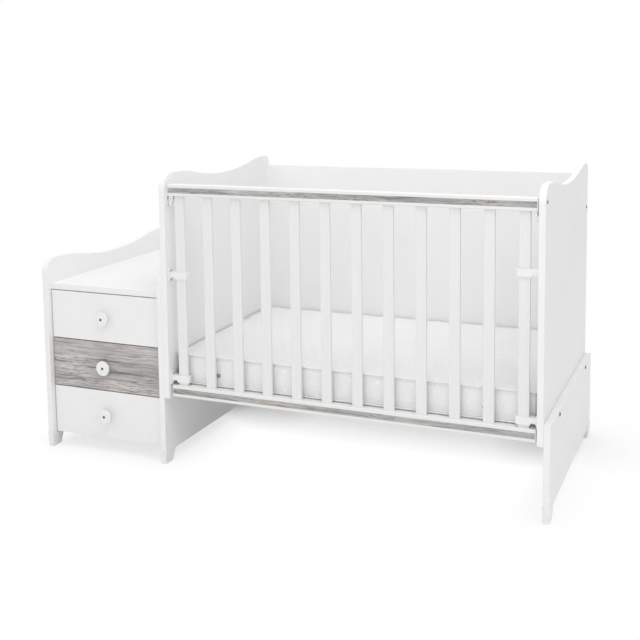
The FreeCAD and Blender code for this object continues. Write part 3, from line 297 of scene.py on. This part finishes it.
def ticking():
    """White knitted mattress ticking: fine ribs, soft slubs and a faint sprinkle of pale dots."""
    look = Look("mattress_cloth", Specular_IOR_Level=0.15, Sheen_Weight=0.12, Sheen_Roughness=0.5)
    warp = look.waves(look.place, 420.0, "X", 0.6)
    weft = look.waves(look.place, 420.0, "Y", 0.6)
    rise = look.waves(look.place, 420.0, "Z", 0.6)
    weave = look.math("ADD", look.math("MULTIPLY", warp, weft), look.math("MULTIPLY", rise, 0.5))
    slub = look.noise(look.place, 130.0, 4.0, 0.6)
    cloud = look.noise(look.place, 5.0, 3.0)
    tone = look.ramp(cloud, (0.3, grey(0.865, 0.001)), (0.7, grey(0.89, 0.001)))
    threads = look.ramp(slub, (0.3, grey(0.965)), (0.6, grey(1.0)))
    dots = look.ramp(look.cells(look.place, 38.0), (0.18, grey(1.0)), (0.22, grey(0.94)))
    tone = look.blend(1.0, tone, threads, "MULTIPLY")
    look.colour(look.blend(1.0, tone, dots, "MULTIPLY"))
    look.rough(look.span(slub, 0.78, 0.92, 0.3, 0.7))
    look.bump(look.math("ADD", weave, look.math("MULTIPLY", slub, 1.5)), 0.18, 0.0006)
    return look.material


white = laminate()
paint_along = lacquer("white_lacquer_rails", 8.0, 260.0, 260.0)
paint_up = lacquer("white_lacquer_slats", 260.0, 260.0, 8.0)
grey_drawer = weathered("grey_wood_drawer", 0.37, 1.0, 1.0)
grey_strip = weathered("grey_wood_strips", 1.91, 1.4, 0.87)
fibre_board = hardboard()
dowel_wood = beech()
moulded_white = plastic("white_plastic", 0.82, 0.30, 0.42, 0.2)
moulded_grey = plastic("grey_plastic", 0.19, 0.36, 0.50, 0.1)
runner_coat = powder_coat()
dark_metal = steel("dark_steel", 0.16, 0.34, 0.52)
bright_metal = steel("bright_steel", 0.62, 0.22, 0.40)
cloth = ticking()


def drawers(piece):
    """Name one piece of each drawer."""
    return tuple(f"drawer_{number}_{piece}" for number in (1, 2, 3))


LOOKS = [
    (white, ("cabinet_side_", "cabinet_top_board", "cabinet_back_guard", "cabinet_bottom_board",
             "end_panel_", "crib_back_panel", "foot_panel", "base_cleats", "front_stretcher",
             "mattress_base", "drawer_1_front", "drawer_3_front", *drawers("box"))),
    (paint_along, ("drop_top_rail", "drop_bottom_rail")),
    (paint_up, ("drop_slats",)),
    (grey_drawer, ("drawer_2_front",)),
    (grey_strip, ("drop_top_strip", "drop_bottom_strip")),
    (fibre_board, ("cabinet_back_panel", *drawers("bottom"))),
    (dowel_wood, ("cabinet_dowels", "crib_dowels")),
    (moulded_white, ("cabinet_feet", "foot_panel_feet", "guide_clips_", "catch_brackets", "catch_hook_",
                     "catch_keepers", *drawers("knob"))),
    (moulded_grey, ("cabinet_rollers", "mattress_eyelets", *drawers("rollers"))),
    (runner_coat, ("cabinet_runners", *drawers("runners"))),
    (dark_metal, ("panel_bolts", "panel_nuts", "back_panel_screws", "keeper_screws",
                  *drawers("knob_screw"))),
    (bright_metal, ("clip_screws", "catch_pins")),
    (cloth, ("mattress",)),
]


def look_for(name):
    """Find the material whose longest listed word starts a node's name."""
    found = [(len(word), material) for material, words in LOOKS for word in words if name.startswith(word)]
    return max(found, key=lambda pair: pair[0])[1]


for name, thing in nodes.items():
    if not thing.material_slots:
        thing.data.materials.append(None)
    for place in thing.material_slots:
        place.material = look_for(name)


# Mattress

LOW, HIGH = (Vector(corner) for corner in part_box("mattress"))
CORNER = 0.014                 # radius of the upright corners
CROWN = 0.004                  # top of the middle above the seams
SEAM = 0.004                   # seam lines in from the outer size and from top and bottom
SEAM_LEVELS = (LOW.z + SEAM, HIGH.z - CROWN - SEAM)
SEAM_HOLD = 0.007              # how far to each side a seam holds the cover
EYELET_INSET = 0.145           # eyelets in from the mattress's ends
EYELET_LIFT = 0.037            # and up from its underside
EYELETS = [(LOW.x + EYELET_INSET, LOW.z + EYELET_LIFT), (HIGH.x - EYELET_INSET, LOW.z + EYELET_LIFT)]
EYELET_HOLD = 0.012            # how far round an eyelet the cover is held
EYELET_SINK = 0.0012           # how far behind the front the cover lies there
BORDER = 0.02                  # how deep the front border counts as near an eyelet
HELD_UNDER = 0.002             # the cover is held up to this height above its underside
FLAT_UNDER = 0.003             # and stays unpuckered up to this one

VOXEL = 0.008                  # face size of the remeshed blank
START = 0.0025                 # how far inside its space the blank starts on all four sides
START_RISE = 0.0005            # and at top and underside
RIM = 0.006                    # width of the blank's soft rims
UPRIGHT_RISE = 0.05            # an edge that climbs more than this is upright
LEVEL_RISE = 0.001             # an edge that climbs less than this is level
SHARP = 1.0                    # radians between the faces at a sharp edge
REACH = 0.005                  # how far a point may move while it swells
FRAMES = 20                    # steps of the simulation

TUCK = 0.0022                  # depth of the tuck beside a seam
TUCK_PLACE = 0.009             # its distance from the seam
TUCK_WIDTH = 0.006
PUCKER = 0.0022                # height of the puckers
PUCKER_REACH = 0.045           # how far they run from a seam
PUCKER_ALONG = 22.0            # noise rate of the puckers along a seam
PUCKER_UP = 6.0                # and upwards
SLACK = 0.0006                 # height of the slow waves all over
SLACK_RATE = 9.0               # their noise rate

PIPING = 0.0024                # radius of the piping
PIPING_OUT = 0.0018            # its middle outside the seam line
ARC_STEPS = 8                  # straight steps round each corner of the piping


def add_object(name, mesh, material):
    """Put a mesh into the scene with one material."""
    thing = bpy.data.objects.new(name, mesh)
    scene.collection.objects.link(thing)
    thing.data.materials.append(material)
    return thing


def smoothed(mesh, name):
    """Name a mesh, shade it smooth and clear its material slots."""
    mesh.name = name
    for face in mesh.polygons:
        face.use_smooth = True
    mesh.materials.clear()


def ring_distance(x, y, inset):
    """Distance from a point to the mattress's outline drawn in by an inset, negative inside."""
    half = (HIGH - LOW) / 2
    bend = CORNER - inset
    across = abs(x - (LOW.x + HIGH.x) / 2) - (half.x - inset - bend)
    along = abs(y - (LOW.y + HIGH.y) / 2) - (half.y - inset - bend)
    outside = math.hypot(max(across, 0.0), max(along, 0.0))
    return outside + min(max(across, along), 0.0) - bend


def seam_distance(point):
    """Distance from a point to the nearer seam."""
    near_ring = ring_distance(point.x, point.y, SEAM)
    return min(math.hypot(near_ring, point.z - level) for level in SEAM_LEVELS)


def eyelet_distance(point):
    """Distance from a point on the front border to the nearer eyelet, endless elsewhere."""
    if point.y >= LOW.y + BORDER:
        return math.inf
    return min(math.hypot(point.x - x, point.z - z) for x, z in EYELETS)


def climb(edge):
    """How far an edge climbs."""
    return abs(edge.verts[0].co.z - edge.verts[1].co.z)


def pad_blank():
    """A slab with round upright corners and soft edges, a little smaller than the finished pad."""
    mesh = bpy.data.meshes.new("mattress_blank")
    form = bmesh.new()
    bmesh.ops.create_cube(form, size=1.0)
    low = LOW + Vector((START, START, START_RISE))
    high = HIGH - Vector((START, START, CROWN + START_RISE))
    for point in form.verts:
        shares = [part + 0.5 for part in point.co]
        point.co = [low[axis] + shares[axis] * (high[axis] - low[axis]) for axis in range(3)]
    upright = [edge for edge in form.edges if climb(edge) > UPRIGHT_RISE]
    bmesh.ops.bevel(form, geom=upright, offset=CORNER, segments=6, affect="EDGES", profile=0.5)
    rims = [edge for edge in form.edges if climb(edge) < LEVEL_RISE and edge.calc_face_angle(0.0) > SHARP]
    bmesh.ops.bevel(form, geom=rims, offset=RIM, segments=3, affect="EDGES", profile=0.5)
    form.to_mesh(mesh)
    form.free()
    return mesh


def remeshed(mesh):
    """Give the slab even faces."""
    thing = add_object("mattress_remesh", mesh, cloth)
    change = thing.modifiers.new("even", "REMESH")
    change.mode = "VOXEL"
    change.voxel_size = VOXEL
    result = bpy.data.meshes.new_from_object(thing.evaluated_get(bpy.context.evaluated_depsgraph_get()))
    bpy.data.objects.remove(thing)
    return result


def held(point):
    """Tell whether a seam, an eyelet or the bed beneath holds a point of the cover."""
    by_seam = seam_distance(point) < SEAM_HOLD
    by_eyelet = eyelet_distance(point) < EYELET_HOLD
    return by_seam or by_eyelet or point.z < LOW.z + HELD_UNDER


def swollen(mesh):
    """Let pressure swell the cover between its seams, and cap how far each point goes."""
    thing = add_object("mattress_swelling", mesh, cloth)
    pins = thing.vertex_groups.new(name="held")
    firm = [point.index for point in mesh.vertices if held(point.co)]
    pins.add(firm, 1.0, "REPLACE")
    simulation = thing.modifiers.new("swell", "CLOTH")
    rules = simulation.settings
    rules.quality = 4
    rules.mass = 0.25
    rules.tension_stiffness = 25.0
    rules.compression_stiffness = 25.0
    rules.shear_stiffness = 12.0
    rules.bending_stiffness = 1.0
    rules.use_pressure = True
    rules.uniform_pressure_force = 4.0
    rules.vertex_group_mass = "held"
    rules.effector_weights.gravity = 0.0
    simulation.collision_settings.use_collision = False
    simulation.point_cache.frame_start = 1
    simulation.point_cache.frame_end = FRAMES
    for moment in range(1, FRAMES + 1):
        scene.frame_set(moment)
    final = thing.evaluated_get(bpy.context.evaluated_depsgraph_get()).data
    moved = [point.co.copy() for point in final.vertices]
    for point, spot in zip(mesh.vertices, moved):
        step = spot - point.co
        if step.length > REACH:
            step *= REACH / step.length
        point.co = point.co + step
    bpy.data.objects.remove(thing)
    scene.frame_set(1)


def sewn(mesh):
    """Draw the cover in beside the seams, pucker it along them and keep it inside its space."""
    normals = [Vector(normal.vector) for normal in mesh.vertex_normals]
    for point, normal in zip(mesh.vertices, normals):
        spot = point.co
        near_seam = seam_distance(spot)
        tuck = TUCK * math.exp(-((near_seam - TUCK_PLACE) / TUCK_WIDTH) ** 2)
        ripple = noise.noise(Vector((spot.x * PUCKER_ALONG, spot.y * PUCKER_ALONG, spot.z * PUCKER_UP)))
        pucker = PUCKER * ripple * math.exp(-near_seam / PUCKER_REACH)
        slack = SLACK * noise.noise(spot * SLACK_RATE)
        if spot.z > LOW.z + FLAT_UNDER:
            spot += normal * (pucker + slack - tuck)
        front = LOW.y + (EYELET_SINK if eyelet_distance(spot) < EYELET_HOLD else 0.0)
        point.co = (min(max(spot.x, LOW.x), HIGH.x), min(max(spot.y, front), HIGH.y),
                    min(max(spot.z, LOW.z), HIGH.z))


def piping(label, level):
    """A cord sewn into the seam that runs round the mattress."""
    line = bpy.data.curves.new(label, "CURVE")
    line.dimensions = "3D"
    line.bevel_depth = PIPING
    line.bevel_resolution = 3
    path = line.splines.new("POLY")
    inset = SEAM - PIPING_OUT
    bend = CORNER - inset
    middle = (LOW + HIGH) / 2
    half = (HIGH - LOW) / 2
    spots = []
    for corner, (side, end) in enumerate(((1, 1), (-1, 1), (-1, -1), (1, -1))):
        centre = (middle.x + side * (half.x - inset - bend), middle.y + end * (half.y - inset - bend))
        for step in range(ARC_STEPS + 1):
            angle = math.radians(corner * 90 + step * 90 / ARC_STEPS)
            spots.append((centre[0] + bend * math.cos(angle), centre[1] + bend * math.sin(angle), level))
    path.points.add(len(spots) - 1)
    for point, spot in zip(path.points, spots):
        point.co = (*spot, 1.0)
    path.use_cyclic_u = True
    thing = bpy.data.objects.new(label, line)
    scene.collection.objects.link(thing)
    mesh = bpy.data.meshes.new_from_object(thing.evaluated_get(bpy.context.evaluated_depsgraph_get()))
    bpy.data.objects.remove(thing)
    smoothed(mesh, label)
    return add_object(label, mesh, cloth)


cover = remeshed(pad_blank())
swollen(cover)
sewn(cover)
smoothed(cover, "mattress_cover")
mattress = add_object("mattress_cover", cover, cloth)
finer = mattress.modifiers.new("finer", "SUBSURF")
finer.levels = 1
finer.render_levels = 1
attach(mattress, "frame")
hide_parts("mattress")
for label, level in (("mattress_piping_low", SEAM_LEVELS[0]), ("mattress_piping_top", SEAM_LEVELS[1])):
    cord = piping(label, level)
    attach(cord, "frame")


# Stage

WHITE = (1.0, 1.0, 1.0, 1.0)
SKY = 0.76                     # strength of the world's light on the object
FLOOR_HALF = 12.0              # half the floor's side
UNDER = (0.3, 0.8)             # reach and strength of the floor's shade under the crib
CLOSE = (0.12, 0.3)            # the same close to what stands on the floor
REARWARD = (0.0, 0.22)         # from where to where, along Y, the shade under the crib grows
FULL_SHADE = 0.35              # open share above the floor at which a shade has its full strength


def mixed(tree, share, first, second):
    """Mix two shaders by a share of the second."""
    mix = tree.nodes.new("ShaderNodeMixShader")
    tree.links.new(share, mix.inputs["Fac"])
    tree.links.new(first, mix.inputs[1])
    tree.links.new(second, mix.inputs[2])
    return mix.outputs["Shader"]


def show(tree, seen, lit, output):
    """Give the camera and reflections what is to be seen, and everything else the lit surface or sky."""
    path = tree.nodes.new("ShaderNodeLightPath")
    total = path.outputs["Is Camera Ray"]
    for kind in ("Is Glossy Ray", "Is Transmission Ray"):
        either = tree.nodes.new("ShaderNodeMath")
        either.operation = "MAXIMUM"
        tree.links.new(total, either.inputs[0])
        tree.links.new(path.outputs[kind], either.inputs[1])
        total = either.outputs["Value"]
    tree.links.new(mixed(tree, total, lit, seen), output)


def light_world():
    """Light the object by a soft white sky, and show plain white behind it."""
    world = bpy.data.worlds.new("studio")
    scene.world = world
    world.use_nodes = True
    tree = world.node_tree
    sky = tree.nodes["Background"]
    plain = tree.nodes.new("ShaderNodeBackground")
    for background, strength in ((sky, SKY), (plain, 1.0)):
        background.inputs["Color"].default_value = WHITE
        background.inputs["Strength"].default_value = strength
    show(tree, plain.outputs["Background"], sky.outputs["Background"],
         tree.nodes["World Output"].inputs["Surface"])


def floor_material():
    """A pale floor, seen as white but for its shade under the crib and close to what stands on it."""
    look = Look("floor_white", Roughness=0.9, Specular_IOR_Level=0.1)
    look.colour(look.ramp(look.noise(look.place, 1.5), (0.3, grey(0.86)), (0.7, grey(0.88))))

    def shade(reach, strength):
        """Rise from 0 on the open floor to a strength where something is within reach above it."""
        contact = look.add("ShaderNodeAmbientOcclusion", Distance=reach)
        contact.samples = 8
        return look.span(contact.outputs["AO"], strength, 0.0, FULL_SHADE, 1.0)

    along_y = look.add("ShaderNodeSeparateXYZ", Vector=look.place).outputs["Y"]
    rearward = look.span(along_y, 0.0, 1.0, *REARWARD)
    under = look.math("MULTIPLY", shade(*UNDER), rearward)
    shading = look.math("MAXIMUM", under, shade(*CLOSE))
    glow = look.add("ShaderNodeEmission", Color=WHITE, Strength=1.0)
    lit = look.shader.outputs["BSDF"]
    seen = mixed(look.tree, shading, glow.outputs["Emission"], lit)
    show(look.tree, seen, lit, look.tree.nodes["Material Output"].inputs["Surface"])
    return look.material


def lamp(name, place, target, size, watts):
    """Hang a square area lamp that the camera doesn't see, and aim it."""
    light = bpy.data.lights.new(name, "AREA")
    light.shape = "SQUARE"
    light.size = size
    light.energy = watts
    thing = bpy.data.objects.new(name, light)
    scene.collection.objects.link(thing)
    thing.location = place
    thing.rotation_euler = (Vector(target) - Vector(place)).to_track_quat("-Z", "Y").to_euler()
    thing.visible_camera = False


light_world()
ground = bpy.data.meshes.new("floor")
sheet = bmesh.new()
bmesh.ops.create_grid(sheet, x_segments=8, y_segments=8, size=FLOOR_HALF)
sheet.to_mesh(ground)
sheet.free()
floor = add_object("floor", ground, floor_material())

lamp("overhead", (0.7, -0.9, 2.8), (0.0, 0.1, 0.4), 2.4, 31.0)
lamp("front", (0.6, -3.4, 0.8), (0.1, 0.0, 0.4), 1.6, 10.0)
lamp("front_left", (-2.6, -4.0, 2.2), (0.0, 0.0, 0.5), 1.2, 8.0)
lamp("right_back", (2.3, 1.7, 1.2), (0.8, 0.2, 0.5), 1.2, 2.5)
lamp("over_chest", (-0.68, 0.05, 1.4), (-0.72, 0.0, 0.56), 0.5, 0.9)


# Camera

PICTURE = 640.0                # pixels along each side of the photograph
FOCAL = 1020.446               # focal length in those pixels
SENSOR = 36.0                  # width of the sensor in millimetres
SHIFT = -0.22                  # lens shift, as a share of the picture's side
FAR = 60.0                     # how far the camera sees
STAND = (1.263159, -2.984157, 1.207252)
YAW, PITCH, ROLL = (math.radians(angle) for angle in (22.823, 6.12, 0.706))

ahead = Vector((-math.sin(YAW) * math.cos(PITCH), math.cos(YAW) * math.cos(PITCH), -math.sin(PITCH)))
level_right = Vector((math.cos(YAW), math.sin(YAW), 0.0))
level_down = ahead.cross(level_right)
right = level_right * math.cos(ROLL) + level_down * math.sin(ROLL)
down = -level_right * math.sin(ROLL) + level_down * math.cos(ROLL)
lens = bpy.data.cameras.new("camera")
lens.sensor_width = SENSOR
lens.lens = SENSOR * FOCAL / PICTURE
lens.shift_y = SHIFT
lens.clip_end = FAR
camera = bpy.data.objects.new("camera", lens)
scene.collection.objects.link(camera)
axes = Matrix((right, -down, -ahead)).transposed()
camera.matrix_world = Matrix.Translation(STAND) @ axes.to_4x4()
scene.camera = camera
scene.view_settings.view_transform = "Standard"
